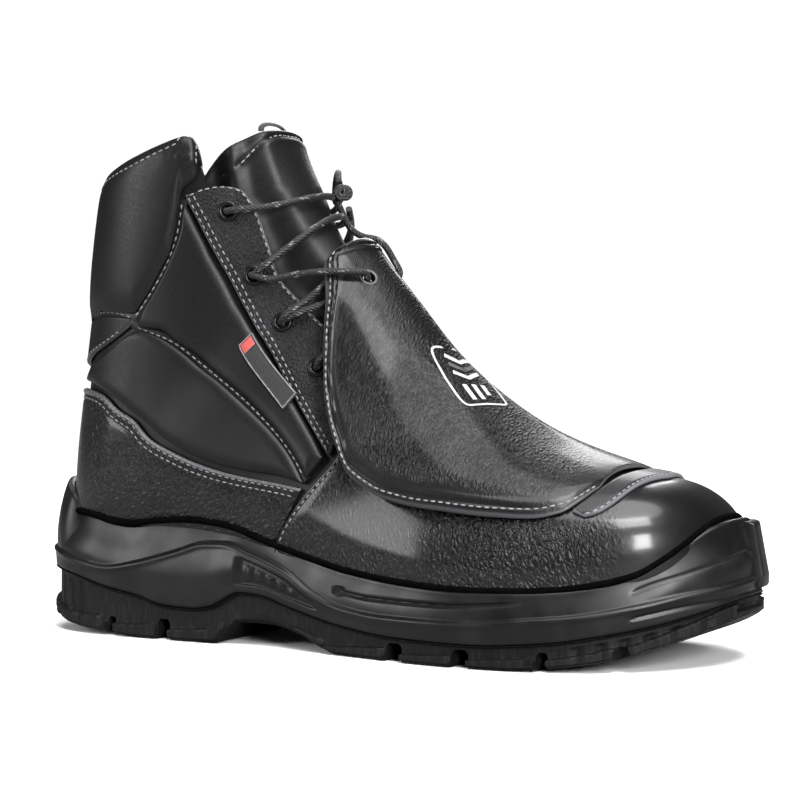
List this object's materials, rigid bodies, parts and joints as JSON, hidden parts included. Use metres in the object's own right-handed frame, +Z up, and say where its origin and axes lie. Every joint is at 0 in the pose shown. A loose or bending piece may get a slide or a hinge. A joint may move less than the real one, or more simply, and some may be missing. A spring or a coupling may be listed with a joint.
{
  "type": "metatarsal guard boot",
  "caption": "Right-foot work boot with a padded shield over the instep, lace-up throat, padded collar and ankle, and a layered lugged sole.",
  "frame": {"origin": "on the floor, under the middle of the boot's box", "axes": "+X from heel to toe, +Y to the inner (medial) side, +Z up from the floor"},
  "size_m": [0.3014, 0.1104, 0.205],
  "materials": {
    "full_grain_leather": "black pebbled full grain leather, semi-gloss",
    "smooth_leather": "black smooth padded leather, satin",
    "lining": "dark grey spacer mesh",
    "polyurethane": "black moulded foam skin, satin",
    "rubber": "black moulded rubber, matte, with textured lug walls",
    "lace": "black braided cord with grey flecks",
    "eyelet_metal": "black lacquered metal",
    "woven_tag": "black woven ribbon with one plain red end"
  },
  "bodies": {
    "root": {"ankle_pad_lateral": "smooth_leather", "ankle_pad_medial": "smooth_leather", "back_band": "smooth_leather", "collar_pad": "smooth_leather", "counter": "full_grain_leather", "eyelet_lateral_1": "eyelet_metal", "eyelet_lateral_2": "eyelet_metal", "eyelet_lateral_3": "eyelet_metal", "eyelet_lateral_4": "eyelet_metal", "eyelet_medial_1": "eyelet_metal", "eyelet_medial_2": "eyelet_metal", "eyelet_medial_3": "eyelet_metal", "eyelet_medial_4": "eyelet_metal", "eyestay_lateral": "full_grain_leather", "eyestay_medial": "full_grain_leather", "guard_strip": "full_grain_leather", "insole": "lining", "lace_knot": "lace", "lace_loop_lower": "lace", "lace_loop_upper": "lace", "laces_lower": "lace", "laces_upper": "lace", "metatarsal_guard": "full_grain_leather", "midsole": "polyurethane", "outsole": "rubber", "quarter_pad_lateral": "smooth_leather", "quarter_pad_medial": "smooth_leather", "side_tag": "woven_tag", "tongue": "smooth_leather", "tongue_pull": "smooth_leather", "upper": "smooth_leather", "vamp": "full_grain_leather"}
  },
  "joints": []
}
